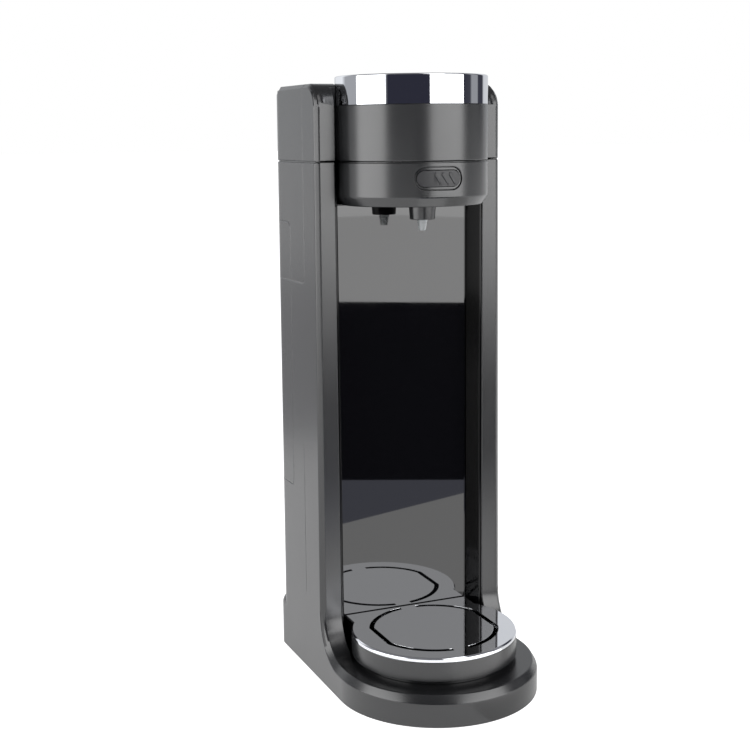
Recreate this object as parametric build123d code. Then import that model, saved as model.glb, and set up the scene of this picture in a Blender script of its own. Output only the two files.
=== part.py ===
from build123d import *
import os
from math import cos, radians, sin, sqrt

# Electric wine aerator: a tower whose round head holds a pour-in wine reservoir, with a pump behind
# a dark mirror panel, one aerating nozzle above the glass, and a lift-off drip tray on a round-nosed
# base. Millimetres, +Z up, -Y is the front, the origin is on the table under the middle of the base.

# Whole object
body_width = 142.0
body_depth = 208.0
body_height = 420.0
wall = 2.5
fit_gap = 0.3
overrun = 5.0
tiny = 0.01

# Base moulding
foot_proud = 1.0
base_top = 22.5
bevel_in = 3.3
bevel_down = 5.3
heel_depth = 7.5
heel_rise = 16.5
heel_round = 7.0
rear_corner = 20.0

# Column and arms
column_depth = 92.8
column_drop = 4.5
crown_round = 16.0
arm_width = 15.6
sweep_radius = 30.0
web_setback = 8.0
seam_drop = 56.0
seam_width = 0.8
seam_depth = 1.0

# Mirror panel and its side liners
mirror_setback = 13.5
mirror_thick = 2.5
liner_width = 6.4
liner_reveal = 1.2
liner_nose = 1.6

# Round head
head_forward = 2.2
head_radius = 51.5
head_high = 85.0
head_bevel_high = 6.0
head_bevel_in = 3.7
ring_high = 19.0
ring_wall = 3.0
ring_round = 1.2
ring_lip = 1.0
ring_lip_thick = 2.6
neck_wall = 2.4
post_radius = 3.5
post_inset = 6.5
post_angle = 35.0
screw_radius = 1.4

# Reservoir and its lid
reservoir_wall = 1.8
reservoir_deep = 46.0
reservoir_flange_drop = 5.0
reservoir_flange_thick = 2.0
reservoir_slope = 3.0
outlet_back = 24.0
outlet_radius = 4.0
outlet_bore = 2.2
outlet_drop = 6.0
strainer_radius = 9.0
strainer_thick = 1.0
strainer_hole = 0.9
strainer_pitch = 5.5
lid_recess = 0.6
lid_plate = 2.0
lid_plug_gap = 1.6
lid_plug_depth = 8.0
lid_wall = 1.8
lid_dish_radius = 30.0
lid_dish_depth = 6.0
lid_grip_width = 9.0
gasket_high = 3.0
gasket_squeeze = 0.2

# Nozzle and aerating chamber
nozzle_forward = 16.9
nozzle_radius = 9.1
nozzle_drop = 9.6
nozzle_taper = 0.7
spout_top_radius = 4.2
spout_tip_radius = 2.4
spout_drop = 7.5
spout_bore = 1.5
chamber_radius = 7.0
chamber_high = 17.0
chamber_bore = 3.0
inlet_high = 12.0
air_high = 7.0
barb_radius = 1.5
barb_bore = 0.9
barb_long = 6.0
oring_thick = 1.2

# Button on the front of the head
button_rise = 18.3
bezel_width = 33.0
bezel_high = 14.7
bezel_sink = 1.0
bezel_flange = 2.0
bezel_flange_thick = 1.6
cap_width = 30.0
cap_high = 10.4
cap_sink = 0.4
cap_gap = 0.25
cap_body = 5.0
cap_flange = 1.0
cap_flange_thick = 1.4
cap_travel = 1.2
cap_rib_width = 1.9
cap_rib_high = 8.2
cap_rib_pitch = 5.2
cap_rib_lean = 33.0
cap_rib_proud = 0.5
cap_rib_shift = 4.0
plunger_radius = 1.7
plunger_long = 3.0
switch_side = 6.2
switch_thick = 3.2
switch_board_wide = 26.0
switch_board_high = 12.0
board_thick = 1.6

# Drip tray
tray_forward = 32.25
tray_inset = 13.5
tray_gap = 0.9
tray_rise = 20.0
tray_lift = 3.5
tray_foot_inset = 4.5
tray_wall = 2.0
tray_floor = 2.0
tray_side_gap = 0.8
plate_thick = 3.0
plate_bevel = 1.0
plate_lip = 1.6
plate_lip_drop = 4.0
slot_inset = 12.5
slot_flat_inset = 3.0
slot_width = 3.4
slot_bridge = 12.0

# Pump behind the mirror
pump_drop = 43.0
pump_radius = 23.0
pump_wall = 2.5
pump_depth = 15.0
pump_floor = 3.0
pump_stand = 5.5
pump_cover_thick = 2.0
pump_ear_reach = 31.0
pump_ear_radius = 5.5
track_radius = 18.0
pressed_hose = 2.4
hose_radius = 2.9
hose_bore = 1.6
hose_bend = 8.0
roller_radius = 4.6
roller_count = 3
roller_pin = 1.5
running_gap = 0.05
rotor_plate = 1.6
hub_radius = 4.5
shaft_radius = 1.5
motor_radius = 12.2
motor_long = 31.0
motor_nose_radius = 4.5
motor_nose = 2.0

# Electronics
board_wide = 62.0
board_high = 76.0
board_drop = 84.0
board_stand = 8.0
stand_radius = 3.0
stand_inset = 5.0
cell_radius = 9.2
cell_long = 65.0
cell_pitch = 20.0
cell_count = 2
holder_wall = 1.6
holder_rise = 39.5
socket_rise = 43.5
socket_radius = 3.9
socket_bore = 2.8
socket_depth = 9.0
socket_flange = 6.0
socket_flange_thick = 1.6
socket_pin = 0.95

# Service openings, fasteners and feet
cover_margin = 5.0
cover_rise = 27.5
cover_drop = 12.0
rear_ledge = 5.0
ledge_thick = 2.2
rear_screw_inset = 6.0
vent_long = 36.0
vent_high = 2.4
vent_pitch = 7.0
vent_count = 6
vent_rise = 8.0
base_plate_thick = 2.5
boss_radius = 5.0
screw_head_radius = 3.0
screw_head_thick = 1.6
screw_long = 11.0
board_screw_head = 2.2
foot_radius = 8.0
foot_thick = 2.5
foot_inset = 27.0
foot_front = 46.0
foot_rear = 30.0

# Places worked out from the sizes above
half_width = body_width / 2
front_y = -body_depth / 2
rear_y = body_depth / 2
nose_y = front_y + half_width
column_rear = rear_y - heel_depth
inner_rear = column_rear - wall
arm_y = column_rear - column_depth
arm_inner = half_width - arm_width
mirror_y = arm_y + mirror_setback
mirror_half = arm_inner - liner_width
panel_wall_y = mirror_y + mirror_thick
inside_y = panel_wall_y + wall
axis_y = arm_y - head_forward
nozzle_y = axis_y - nozzle_forward
tray_y = axis_y - tray_forward
tray_radius = half_width - tray_inset
tray_tail_half = mirror_half - tray_side_gap
tray_top = base_top + tray_rise
tray_bottom = base_top + tray_lift
slot_radius = tray_radius - slot_inset
slot_flat = slot_radius - slot_flat_inset
heel_top = base_top + heel_rise
column_top = body_height - column_drop
seam_z = body_height - seam_drop
head_bottom = body_height - head_high
ring_bottom = body_height - ring_high
button_z = head_bottom + button_rise
pump_z = head_bottom - pump_drop
board_z = pump_z - board_drop
holder_z = base_top + holder_rise
socket_z = base_top + socket_rise
rear_cover_half = half_width - rear_corner - cover_margin
rear_cover_low = base_top + cover_rise
rear_cover_high = seam_z - cover_drop
vent_z = pump_z + vent_rise
head_inner = head_radius - wall
post_reach = head_inner - post_inset
reservoir_floor = body_height - reservoir_deep
reservoir_flange_z = body_height - reservoir_flange_drop
neck_radius = head_radius - ring_wall - fit_gap
reservoir_radius = neck_radius - neck_wall - fit_gap
reservoir_inner = reservoir_radius - reservoir_wall
lid_top = body_height - lid_recess
lid_radius = head_radius - ring_wall - ring_lip - fit_gap
plug_radius = reservoir_inner - lid_plug_gap
outlet_y = axis_y + outlet_back
head_floor_top = head_bottom + wall


def block(x_low, x_high, y_low, y_high, z_low, z_high):
    """A box between two corners."""
    size = Box(x_high - x_low, y_high - y_low, z_high - z_low)
    return Pos((x_low + x_high) / 2, (y_low + y_high) / 2, (z_low + z_high) / 2) * size


def post(x, y, z_low, z_high, radius):
    """An upright round bar."""
    return Pos(x, y, (z_low + z_high) / 2) * Cylinder(radius, z_high - z_low)


def bar(x, z, y_low, y_high, radius):
    """A round bar that lies front to back."""
    return Pos(x, (y_low + y_high) / 2, z) * Rot(90, 0, 0) * Cylinder(radius, y_high - y_low)


def turned(y, *points):
    """A turned form about an upright axis; points are (radius, height)."""
    profile = make_face(Plane.XZ * Polyline(*points, close=True))
    return Pos(0, y, 0) * revolve(profile, Axis.Z)


def pill(width, high, y_front, y_back, z):
    """A bar with a round-ended section that lies front to back."""
    face = Plane.XZ * SlotOverall(width, high)
    return Pos(0, y_back, z) * extrude(face, y_back - y_front)


def head_band(inner, outer, z_low, z_high):
    """A ring of the round head between two radii."""
    return post(0, axis_y, z_low, z_high, outer) - post(0, axis_y, z_low, z_high, inner)


def around_head(radius, angles):
    """Points round the head's axis."""
    return [(radius * cos(radians(a)), axis_y + radius * sin(radians(a))) for a in angles]


def plan(inset, back):
    """The outline from above: round nose, straight sides, rounded rear corners."""
    half = half_width - inset
    rear = back - inset
    nose = Pos(0, nose_y) * Circle(half)
    hull = Pos(0, (nose_y + rear) / 2) * Rectangle(2 * half, rear - nose_y)
    face = nose + hull
    return fillet(face.vertices().sort_by(Axis.Y)[-2:], rear_corner - inset)


def side_view(inset, low, high):
    """The outline from the side: the base, the sweep up into the arms, and the column."""
    front = front_y - overrun
    back = column_rear + overrun
    face_y = arm_y + inset
    top = base_top - inset
    radius = sweep_radius + inset
    middle = (face_y - radius + radius * cos(radians(45)), top + radius - radius * sin(radians(45)))
    start = (face_y - radius, top)
    end = (face_y, top + radius)
    lines = Polyline(end, (face_y, high), (back, high), (back, low), (front, low), (front, top), start)
    return make_face(Plane.YZ * (lines + ThreePointArc(start, middle, end)))


def body_form(inset, low, high):
    """The base and column as one bulk, with the bevel that runs up the arms and round the nose."""
    bulk = extrude(side_view(inset, low, high), half_width + overrun, both=True)
    bulk = bulk & Pos(0, 0, low) * extrude(plan(inset, column_rear), high - low)
    top = base_top - inset
    rim = [e for e in bulk.edges().sort_by(Axis.Y) if abs((e @ 0.5).Z - top) < tiny][0]
    nose_face = bulk.faces().filter_by(GeomType.CYLINDER).sort_by(Axis.Y)[0]
    keep = 1 - inset * (2 - sqrt(2)) / (bevel_in + bevel_down) * 2
    return chamfer(rim, bevel_down * keep, bevel_in * keep, reference=nose_face)


def heel_form(inset, low):
    """The raised heel that the column stands against at the rear of the base."""
    bulk = Pos(0, 0, low) * extrude(plan(inset, rear_y), heel_top - inset - low)
    bulk = fillet(bulk.faces().sort_by(Axis.Z)[-1].edges(), heel_round - inset)
    reach = column_rear - rear_corner
    return bulk & block(-half_width, half_width, reach, rear_y, low, heel_top)


def bay(gap):
    """The open space between the arms, grown by a gap."""
    half = arm_inner + gap
    low = block(-half, half, front_y - overrun, panel_wall_y + gap, base_top - gap, head_bottom + gap)
    web_y = arm_y + web_setback + gap
    slot = block(-half, half, front_y - overrun, web_y, head_bottom - gap, column_top + overrun)
    pocket = post(0, axis_y, head_bottom, column_top + overrun, head_radius + fit_gap + gap)
    return low + slot + pocket


def seam_groove(z_low, z_high):
    """The shadow line where the top cover meets what is below it."""
    outline = extrude(plan(-overrun, column_rear), z_high - z_low)
    outline = outline - extrude(plan(seam_depth, column_rear), z_high - z_low)
    front = arm_y + seam_depth
    nose = block(-body_width, body_width, front_y - body_width, front, 0, z_high - z_low)
    return Pos(0, 0, z_low) * (outline + nose)


def head_groove(z_low, z_high):
    """The same shadow line round the drum."""
    return head_band(head_radius - seam_depth, head_radius + overrun, z_low, z_high)


def base_screw_places():
    """Where the base plate is screwed to the body."""
    inner = half_width - wall
    return [(x, y) for x in (-inner + boss_radius - tiny, inner - boss_radius + tiny)
            for y in (nose_y, column_rear - rear_corner - boss_radius)]


def foot_places():
    x = half_width - foot_inset
    return [(sx * x, y) for sx in (-1, 1) for y in (front_y + foot_front, rear_y - foot_rear)]


def ear_places():
    return [(-pump_ear_reach, pump_z), (pump_ear_reach, pump_z)]


def stand_places():
    x = board_wide / 2 - stand_inset
    z = board_high / 2 - stand_inset
    return [(sx * x, board_z + sz * z) for sx in (-1, 1) for sz in (-1, 1)]


def rear_screw_places():
    x = rear_cover_half - rear_screw_inset
    return [(sx * x, z) for sx in (-1, 1)
            for z in (rear_cover_low + rear_screw_inset, rear_cover_high - rear_screw_inset)]


# Depths of what stands behind the mirror
ear_back = inside_y + pump_stand + pump_depth
ear_front = ear_back - pump_floor
pump_front = ear_back - pump_depth
pump_back = ear_back
board_y = inside_y + board_stand


def main_body():
    low = foot_proud
    body = body_form(0, low, seam_z) + heel_form(0, low)
    hollow = body_form(wall, low - overrun, seam_z + overrun) + heel_form(wall, low - overrun)
    body = body - bay(0) - (hollow - bay(wall))
    body = body - post(0, tray_y, base_top, tray_top, tray_radius + tray_gap)
    body = body - seam_groove(seam_z - seam_width / 2, seam_z + overrun)
    floor = base_top - wall
    for x, y in base_screw_places():
        body = body + post(x, y, low + base_plate_thick, floor + tiny, boss_radius)
        body = body - post(x, y, low, floor - wall, screw_radius)
    for x, z in ear_places():
        body = body + bar(x, z, inside_y - tiny, ear_front, pump_ear_radius)
        body = body - bar(x, z, inside_y + wall, ear_front + overrun, screw_radius)
    for x, z in stand_places():
        body = body + bar(x, z, inside_y - tiny, board_y, stand_radius)
        body = body - bar(x, z, inside_y + wall, board_y + overrun, screw_radius)
    half = rear_cover_half + fit_gap
    z_low = rear_cover_low - fit_gap
    z_high = rear_cover_high + fit_gap
    body = body - block(-half, half, inner_rear - overrun, column_rear + overrun, z_low, z_high)
    edge = rear_ledge
    back = inner_rear
    frame = block(-half - edge, half + edge, back - ledge_thick, back, z_low - edge, z_high + edge)
    inner = half - edge
    frame = frame - block(-inner, inner, back - overrun, back, z_low + edge, z_high - edge)
    body = body + frame
    for x, z in rear_screw_places():
        body = body + bar(x, z, back - screw_long, back, rear_screw_inset - fit_gap)
        body = body - bar(x, z, back - screw_long + wall, back + overrun, screw_radius)
    return body


def top_form(inset, low):
    """The bulk of the top cover over the arms and column."""
    top = column_top - inset
    face_y = arm_y + inset
    bulk = Pos(0, 0, low) * extrude(plan(inset, column_rear), top - low)
    bulk = bulk & block(-half_width, half_width, face_y, column_rear, low, top)
    crown = [e for e in bulk.edges() if abs((e @ 0.5).Y - face_y) < tiny and abs((e @ 0.5).Z - top) < tiny]
    bulk = fillet(crown, crown_round - inset)
    sides = [f for f in bulk.faces() if abs(f.center().X + half_width - inset) < tiny]
    rim = [e for e in sides[0].edges() if abs((e @ 0.5).Y - face_y) < tiny]
    keep = 1 - inset * (2 - sqrt(2)) / (bevel_in + bevel_down) * 2
    return chamfer(rim, bevel_down * keep, bevel_in * keep, reference=sides[0])


def head_posts(z_low, z_high, radius, reach=post_reach):
    """The four screw places of the head."""
    spots = around_head(reach, (post_angle, 180 - post_angle, 180 + post_angle, -post_angle))
    return [post(x, y, z_low, z_high, radius) for x, y in spots]


def top_cover():
    low = seam_z
    cover = top_form(0, low) - bay(0)
    cover = cover - (top_form(wall, low - overrun) - bay(wall))
    drum = head_band(head_inner, head_radius, low, ring_bottom)
    shoulder = head_band(neck_radius - neck_wall, head_radius, ring_bottom - wall, ring_bottom)
    neck = head_band(neck_radius - neck_wall, neck_radius, ring_bottom - wall, reservoir_flange_z)
    web = head_band(head_radius - wall, head_radius + fit_gap + wall, low, ring_bottom)
    web = web & block(-half_width, half_width, arm_y + web_setback, column_rear, low, ring_bottom)
    cover = cover + drum + shoulder + neck + web
    cover = cover - seam_groove(low - overrun, low + seam_width / 2)
    cover = cover - head_groove(low - overrun, low + seam_width / 2)
    leg_top = reservoir_floor - reservoir_slope - wall
    for leg in head_posts(head_floor_top, leg_top, post_radius):
        cover = cover + leg
    for hole in head_posts(head_floor_top - overrun, low, screw_radius):
        cover = cover - hole
    inside = head_inner + tiny
    for rib in head_posts(low + seam_width, leg_top, post_radius, inside):
        cover = cover + (rib & post(0, axis_y, low, ring_bottom, inside))
    return cover


def head_lower_housing():
    bottom = head_radius - head_bevel_in
    waist = head_bottom + head_bevel_high
    outer = turned(axis_y, (0, head_bottom), (bottom, head_bottom), (head_radius, waist),
                   (head_radius, seam_z), (0, seam_z))
    inner = turned(axis_y, (0, head_floor_top), (bottom - wall / 2, head_floor_top),
                   (head_inner, waist + wall / 2), (head_inner, seam_z + overrun),
                   (0, seam_z + overrun))
    shell = outer - inner - head_groove(seam_z - seam_width / 2, seam_z + overrun)
    shell = shell - pill(bezel_width, bezel_high, front_y, axis_y, button_z)
    shell = shell - post(0, nozzle_y, head_bottom - overrun, head_floor_top + overrun, spout_seat_radius)
    for hole in head_posts(head_bottom - overrun, head_floor_top + overrun, screw_radius + fit_gap):
        shell = shell - hole
    for sink in head_posts(head_bottom - overrun, head_bottom + screw_head_thick, screw_head_radius + fit_gap):
        shell = shell - sink
    for x in hose_port_xs:
        shell = shell - post(x, hose_port_y, head_bottom - overrun, head_floor_top + overrun, hose_port_radius)
    return shell


# Hose runs between the head and the pump
spout_seat_radius = spout_top_radius + oring_thick + fit_gap
hose_port_radius = hose_radius + fit_gap
inlet_z = head_floor_top + inlet_high
air_z = head_floor_top + air_high
hose_port_y = ear_front - (pump_depth - pump_floor) / 2
hose_port_xs = (-(track_radius - hose_radius), track_radius - hose_radius)


def housing_screws():
    group = []
    seat = head_bottom + screw_head_thick
    heads = head_posts(head_bottom, seat, screw_head_radius)
    shanks = head_posts(seat, seat + screw_long, screw_radius - running_gap)
    for head, shank in zip(heads, shanks):
        group.append(head + shank)
    return Compound(children=group)


def chrome_ring():
    inner = head_radius - ring_wall
    lip = inner - ring_lip
    ring = turned(axis_y, (inner, ring_bottom), (head_radius, ring_bottom), (head_radius, body_height),
                  (lip, body_height), (lip, body_height - ring_lip_thick),
                  (inner, body_height - ring_lip_thick))
    rims = [e for e in ring.edges() if abs((e @ 0.5).Z - body_height) < tiny]
    return fillet(rims, ring_round * ring_lip / ring_wall * 2)


def reservoir():
    floor = reservoir_floor
    inner_floor = floor + reservoir_wall
    top = reservoir_flange_z + reservoir_flange_thick
    flange = head_radius - ring_wall - fit_gap
    cup = turned(axis_y, (0, floor - reservoir_slope), (reservoir_radius / 2, floor - reservoir_slope),
                 (reservoir_radius, floor), (reservoir_radius, reservoir_flange_z),
                 (flange, reservoir_flange_z), (flange, top), (reservoir_inner, top),
                 (reservoir_inner, inner_floor), (reservoir_inner / 2, inner_floor - reservoir_slope),
                 (0, inner_floor - reservoir_slope))
    shoulder = floor - reservoir_slope - outlet_drop
    spigot = post(0, outlet_y, shoulder, floor + tiny, outlet_radius)
    cup = cup + (spigot - post(0, axis_y, floor, top, reservoir_radius))
    tip = shoulder - barb_long / 2
    cup = cup + post(0, outlet_y, tip, shoulder, barb_radius)
    cup = cup - post(0, outlet_y, shoulder + reservoir_wall, top, outlet_bore)
    return cup - post(0, outlet_y, tip, top, barb_bore)


def reservoir_strainer():
    rise = outlet_back + strainer_radius - reservoir_inner / 2
    seat = reservoir_floor + reservoir_wall - reservoir_slope
    low = seat + reservoir_slope * rise / (reservoir_inner / 2) + running_gap
    disc = post(0, outlet_y, low, low + strainer_thick, strainer_radius)
    holes = []
    for row in (-1, 0, 1):
        for column in (-1, 0, 1):
            x = column * strainer_pitch
            y = outlet_y + row * strainer_pitch
            if abs(row) + abs(column) < 2:
                holes.append(post(x, y, low - tiny, low + strainer_thick + tiny, strainer_hole))
    return disc - holes


def fill_lid():
    top = lid_top
    plate = top - lid_plate
    bottom = plate - lid_plug_depth
    inner = plug_radius - lid_wall
    dish_floor = top - lid_dish_depth
    lid = turned(axis_y, (0, dish_floor - lid_plate), (lid_dish_radius, dish_floor - lid_plate),
                 (lid_dish_radius + lid_wall, plate), (inner, plate), (inner, bottom),
                 (plug_radius, bottom), (plug_radius, bottom + lid_wall),
                 (plug_radius - lid_wall / 2, bottom + lid_wall),
                 (plug_radius - lid_wall / 2, bottom + lid_wall + gasket_high),
                 (plug_radius, bottom + lid_wall + gasket_high),
                 (plug_radius, plate), (lid_radius, plate), (lid_radius, top),
                 (lid_dish_radius, top), (lid_dish_radius - lid_wall, dish_floor), (0, dish_floor))
    reach = lid_dish_radius
    half = lid_grip_width / 2
    grip = block(-half, half, axis_y - reach, axis_y + reach, dish_floor - tiny, top)
    return lid + (grip & post(0, axis_y, dish_floor - lid_plate, top, reach))


def lid_gasket():
    low = lid_top - lid_plate - lid_plug_depth + lid_wall
    inner = plug_radius - lid_wall / 2
    outer = reservoir_inner - gasket_squeeze
    return head_band(inner, outer, low, low + gasket_high)


def nozzle_collar():
    low = head_bottom - nozzle_drop
    narrow = nozzle_radius - nozzle_taper
    bore = spout_top_radius + fit_gap
    return turned(nozzle_y, (bore, low), (narrow, low), (nozzle_radius, head_bottom),
                  (spout_seat_radius, head_bottom), (spout_seat_radius, head_bottom - oring_thick),
                  (bore, head_bottom - oring_thick))


def spout_tip():
    low = head_bottom - nozzle_drop
    top = head_floor_top
    tip = low - spout_drop
    flange = spout_top_radius
    return turned(nozzle_y, (spout_bore, tip), (spout_tip_radius, tip), (flange, low + wall),
                  (flange, top), (spout_bore, top))


def spout_oring():
    low = head_bottom - oring_thick
    return turned(nozzle_y, (spout_top_radius + tiny, low), (spout_seat_radius - tiny, low),
                  (spout_seat_radius - tiny, head_bottom), (spout_top_radius + tiny, head_bottom))


def aeration_chamber():
    """The small mixing cup over the spout: wine comes in from behind, air from one side."""
    low = head_floor_top
    high = low + chamber_high
    body = post(0, nozzle_y, low, high, chamber_radius)
    reach = chamber_radius + barb_long
    wine = bar(0, inlet_z, nozzle_y, nozzle_y + reach, barb_radius)
    air = Pos(reach / 2, nozzle_y, air_z) * Rot(0, 90, 0) * Cylinder(barb_radius, reach)
    body = body + wine + air
    body = body - post(0, nozzle_y, low + wall, high - wall, chamber_bore)
    body = body - post(0, nozzle_y, low, high - wall, spout_bore)
    body = body - bar(0, inlet_z, nozzle_y, nozzle_y + reach, barb_bore)
    return body - Pos(reach / 2, nozzle_y, air_z) * Rot(0, 90, 0) * Cylinder(barb_bore, reach)


def air_filter():
    x = chamber_radius + barb_long
    z = air_z
    end = x + 2 * barb_long
    body = Pos((x + end) / 2, nozzle_y, z) * Rot(0, 90, 0) * Cylinder(chamber_radius - wall, end - x)
    bore = Pos((x + end) / 2, nozzle_y, z) * Rot(0, 90, 0) * Cylinder(barb_bore, 2 * (end - x))
    foot = block(x, end, nozzle_y - barb_radius, nozzle_y + barb_radius, head_floor_top, z)
    return body + foot - bore


def annular_pill(width, high, inner, outer):
    """A round-ended patch of the drum's front wall between two radii."""
    prism = pill(width, high, axis_y - outer - overrun, axis_y - inner / 2, button_z)
    return prism & head_band(inner, outer, button_z - high, button_z + high)


def button_bezel():
    face = head_radius - bezel_sink
    gap = 2 * cap_gap
    front = annular_pill(bezel_width - gap, bezel_high - gap, head_inner - tiny, face)
    flange_outer = head_inner - cap_gap
    flange_width = bezel_width + 2 * bezel_flange
    flange_high = bezel_high + 2 * bezel_flange
    back = annular_pill(flange_width, flange_high, flange_outer - bezel_flange_thick, flange_outer)
    joint = annular_pill(bezel_width - gap, bezel_high - gap, flange_outer - tiny, head_inner)
    opening = pill(cap_width + gap, cap_high + gap, front_y, axis_y, button_z)
    return front + joint + back - opening


cap_back = head_inner - cap_gap - bezel_flange_thick
plunger_y = axis_y - cap_back + cap_body


def button_cap():
    face = head_radius - cap_sink
    body = annular_pill(cap_width, cap_high, cap_back - cap_flange_thick, face)
    side = 2 * (cap_flange + cap_gap)
    outer = cap_back - cap_gap
    flange = annular_pill(cap_width + side, cap_high + side, outer - cap_flange_thick, outer)
    stem = bar(0, button_z, axis_y - cap_back, plunger_y, plunger_radius)
    cap = body + flange + stem
    proud = face + cap_rib_proud
    for number in (-1, 0, 1):
        x = cap_rib_shift + number * cap_rib_pitch
        rib = Pos(x, axis_y, button_z) * Rot(0, cap_rib_lean, 0) * Rot(90, 0, 0)
        rib = rib * extrude(SlotOverall(cap_rib_high, cap_rib_width, rotation=90), head_radius + overrun)
        cap = cap + (rib & head_band(face - cap_rib_proud, proud, button_z - cap_high, button_z + cap_high))
    return cap


def switch_plunger():
    start = plunger_y + tiny
    return bar(0, button_z, start, start + plunger_long, plunger_radius)


switch_y = plunger_y + cap_travel + cap_gap


def button_switch():
    half = switch_side / 2
    back = switch_y + switch_thick
    body = block(-half, half, switch_y, back, button_z - half, button_z + half)
    body = body - bar(0, button_z, switch_y - overrun, back, plunger_radius + cap_gap)
    wide = switch_board_wide / 2
    tall = switch_board_high / 2
    board = block(-wide, wide, back, back + board_thick, button_z - tall, button_z + tall)
    leg_low = head_floor_top
    legs = block(-wide, wide, back, back + board_thick, leg_low, button_z - tall)
    return body + board + legs


def mirror_panel():
    half = mirror_half - fit_gap
    low = base_top + fit_gap
    return block(-half, half, mirror_y, panel_wall_y, low, head_bottom - fit_gap)


def liner(side):
    """A gloss side liner that splays from the mirror's edge out to the arm."""
    inner = mirror_half
    outer = arm_inner - fit_gap / 2
    front = arm_y + liner_reveal
    points = [(inner, panel_wall_y), (outer, panel_wall_y), (outer, front),
              (outer - liner_nose, front), (inner, mirror_y)]
    low = base_top + fit_gap
    face = make_face(Polyline(*[(side * x, y) for x, y in points], close=True))
    strip = Pos(0, 0, low) * extrude(face, head_bottom - fit_gap - low)
    body_sweep = body_form(-fit_gap / 2, 0, base_top + 2 * sweep_radius)
    front_part = body_sweep & block(-half_width, half_width, front_y, front, 0, base_top + sweep_radius)
    keep_out = post(0, tray_y, 0, tray_top, tray_radius + tray_gap)
    return strip - front_part - keep_out


def tray_outline(inset):
    """The tray from above: a round front with a square tail between the liners."""
    tail_back = mirror_y - fit_gap
    half = tray_tail_half - inset
    tail = Pos(0, (tray_y + tail_back - inset) / 2) * Rectangle(2 * half, tail_back - inset - tray_y)
    front = Pos(0, tray_y) * Circle(tray_radius - inset)
    depth = tray_radius + tail_back - inset - tray_y
    frame = Pos(0, tail_back - inset - depth / 2) * Rectangle(2 * tray_radius, depth)
    return (front & frame) + tail


def drip_cup():
    top = tray_top - plate_thick
    cup = Pos(0, 0, tray_bottom) * extrude(tray_outline(0), top - tray_bottom)
    floor = tray_bottom + tray_floor
    cup = cup - Pos(0, 0, floor) * extrude(tray_outline(tray_wall), top - floor)
    foot = Pos(0, 0, base_top) * extrude(tray_outline(tray_foot_inset), tray_bottom - base_top)
    hollow = Pos(0, 0, base_top) * extrude(tray_outline(tray_foot_inset + tray_wall), tray_bottom - base_top)
    return cup + (foot - hollow)


def slot_outline(inset):
    """The drain slot's edge: a circle cut by a flat at each side."""
    half = slot_flat - inset
    return Circle(slot_radius - inset) & Rectangle(2 * half, 2 * slot_radius)


def drip_plate():
    low = tray_top - plate_thick
    plate = Pos(0, 0, low) * extrude(tray_outline(0), plate_thick)
    plate = chamfer(plate.faces().sort_by(Axis.Z)[-1].edges(), plate_bevel)
    lip = extrude(tray_outline(tray_wall + fit_gap), -plate_lip_drop)
    lip = lip - extrude(tray_outline(tray_wall + fit_gap + plate_lip), -plate_lip_drop)
    plate = plate + Pos(0, 0, low) * lip
    ring = slot_outline(0) - slot_outline(slot_width)
    ring = ring - Rectangle(slot_bridge, 2 * body_width)
    return plate - Pos(0, tray_y, low - tiny) * extrude(ring, plate_thick + overrun)


def pump_housing():
    cup = bar(0, pump_z, pump_front, pump_back, pump_radius)
    neck_half = track_radius + pump_wall
    neck_top = pump_z + pump_radius + pump_wall
    cup = cup + block(-neck_half, neck_half, pump_front, pump_back, pump_z, neck_top)
    floor = pump_back - pump_floor
    hollow = bar(0, pump_z, pump_front - overrun, floor, track_radius)
    side = track_radius
    hollow = hollow + block(-side, side, pump_front - overrun, floor, pump_z, pump_z + pump_radius)
    cup = cup - hollow
    for x in hose_port_xs:
        cup = cup - post(x, hose_port_y, pump_z, neck_top + overrun, hose_radius + running_gap)
    cup = cup - bar(0, pump_z, floor - overrun, pump_back + overrun, motor_nose_radius + running_gap)
    ears = block(-pump_ear_reach, pump_ear_reach, ear_front, pump_back, pump_z - pump_ear_radius,
                 pump_z + pump_ear_radius)
    for x, z in ear_places():
        ears = ears + bar(x, z, ear_front, pump_back, pump_ear_radius)
    ears = ears - bar(0, pump_z, ear_front - overrun, pump_back + overrun, track_radius)
    for x, z in ear_places():
        ears = ears - bar(x, z, ear_front - overrun, pump_back + overrun, screw_radius + fit_gap)
    return cup + ears


def pump_cover():
    front = pump_front - pump_cover_thick
    lid = bar(0, pump_z, front, pump_front, pump_radius)
    neck_half = track_radius + pump_wall
    neck_top = pump_z + pump_radius + pump_wall
    return lid + block(-neck_half, neck_half, front, pump_front, pump_z, neck_top)


rotor_front = pump_front + fit_gap
rotor_back = pump_back - pump_floor - fit_gap
roller_front = rotor_front + rotor_plate + fit_gap
roller_back = rotor_back - rotor_plate - fit_gap
orbit = track_radius - pressed_hose - roller_radius - fit_gap


def roller_places():
    turn = 360 / roller_count
    return [(orbit * cos(radians(90 + n * turn)), pump_z + orbit * sin(radians(90 + n * turn)))
            for n in range(roller_count)]


def pump_rotor():
    plate_radius = orbit + roller_pin + rotor_plate
    rotor = bar(0, pump_z, rotor_front, rotor_front + rotor_plate, plate_radius)
    rotor = rotor + bar(0, pump_z, rotor_back - rotor_plate, rotor_back, plate_radius)
    rotor = rotor + bar(0, pump_z, rotor_front, rotor_back, hub_radius)
    for x, z in roller_places():
        rotor = rotor + bar(x, z, rotor_front, rotor_back, roller_pin)
    return rotor - bar(0, pump_z, rotor_front + rotor_plate, rotor_back + overrun, shaft_radius)


def roller(number):
    x, z = roller_places()[number]
    sleeve = bar(x, z, roller_front, roller_back, roller_radius)
    return sleeve - bar(x, z, roller_front - overrun, roller_back + overrun, roller_pin + running_gap)


def motor_shaft():
    return bar(0, pump_z, rotor_front + rotor_plate, pump_back + motor_long - wall, shaft_radius)


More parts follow.
